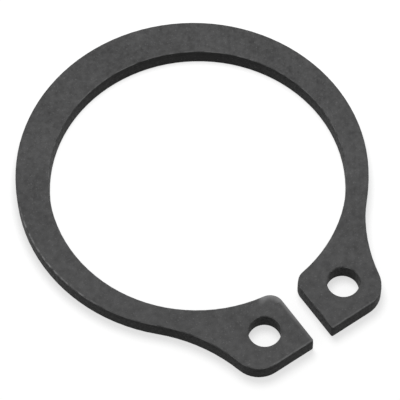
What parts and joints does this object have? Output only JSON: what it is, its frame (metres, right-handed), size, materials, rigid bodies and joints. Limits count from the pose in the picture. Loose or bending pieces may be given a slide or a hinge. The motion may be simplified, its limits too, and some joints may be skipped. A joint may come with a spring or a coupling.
{
  "type": "external retaining ring",
  "caption": "Flat C-shaped spring ring that snaps into a shaft groove, with a pierced lug each side of its slot for ring pliers.",
  "frame": {"origin": "centre of the free bore, halfway through the thickness", "axes": "+Z along the bore axis, out of the face whose wall has the fracture zone; the slot and lugs point towards -Y and the widest part of the band is at +Y"},
  "size_m": [0.022, 0.0249, 0.0012],
  "materials": {
    "spring_steel": "dark grey phosphated and oiled spring steel, matt, with a fine mottled grain and slightly brighter rubbed edges"
  },
  "bodies": {
    "root": {"retaining_ring": "spring_steel"}
  },
  "joints": []
}
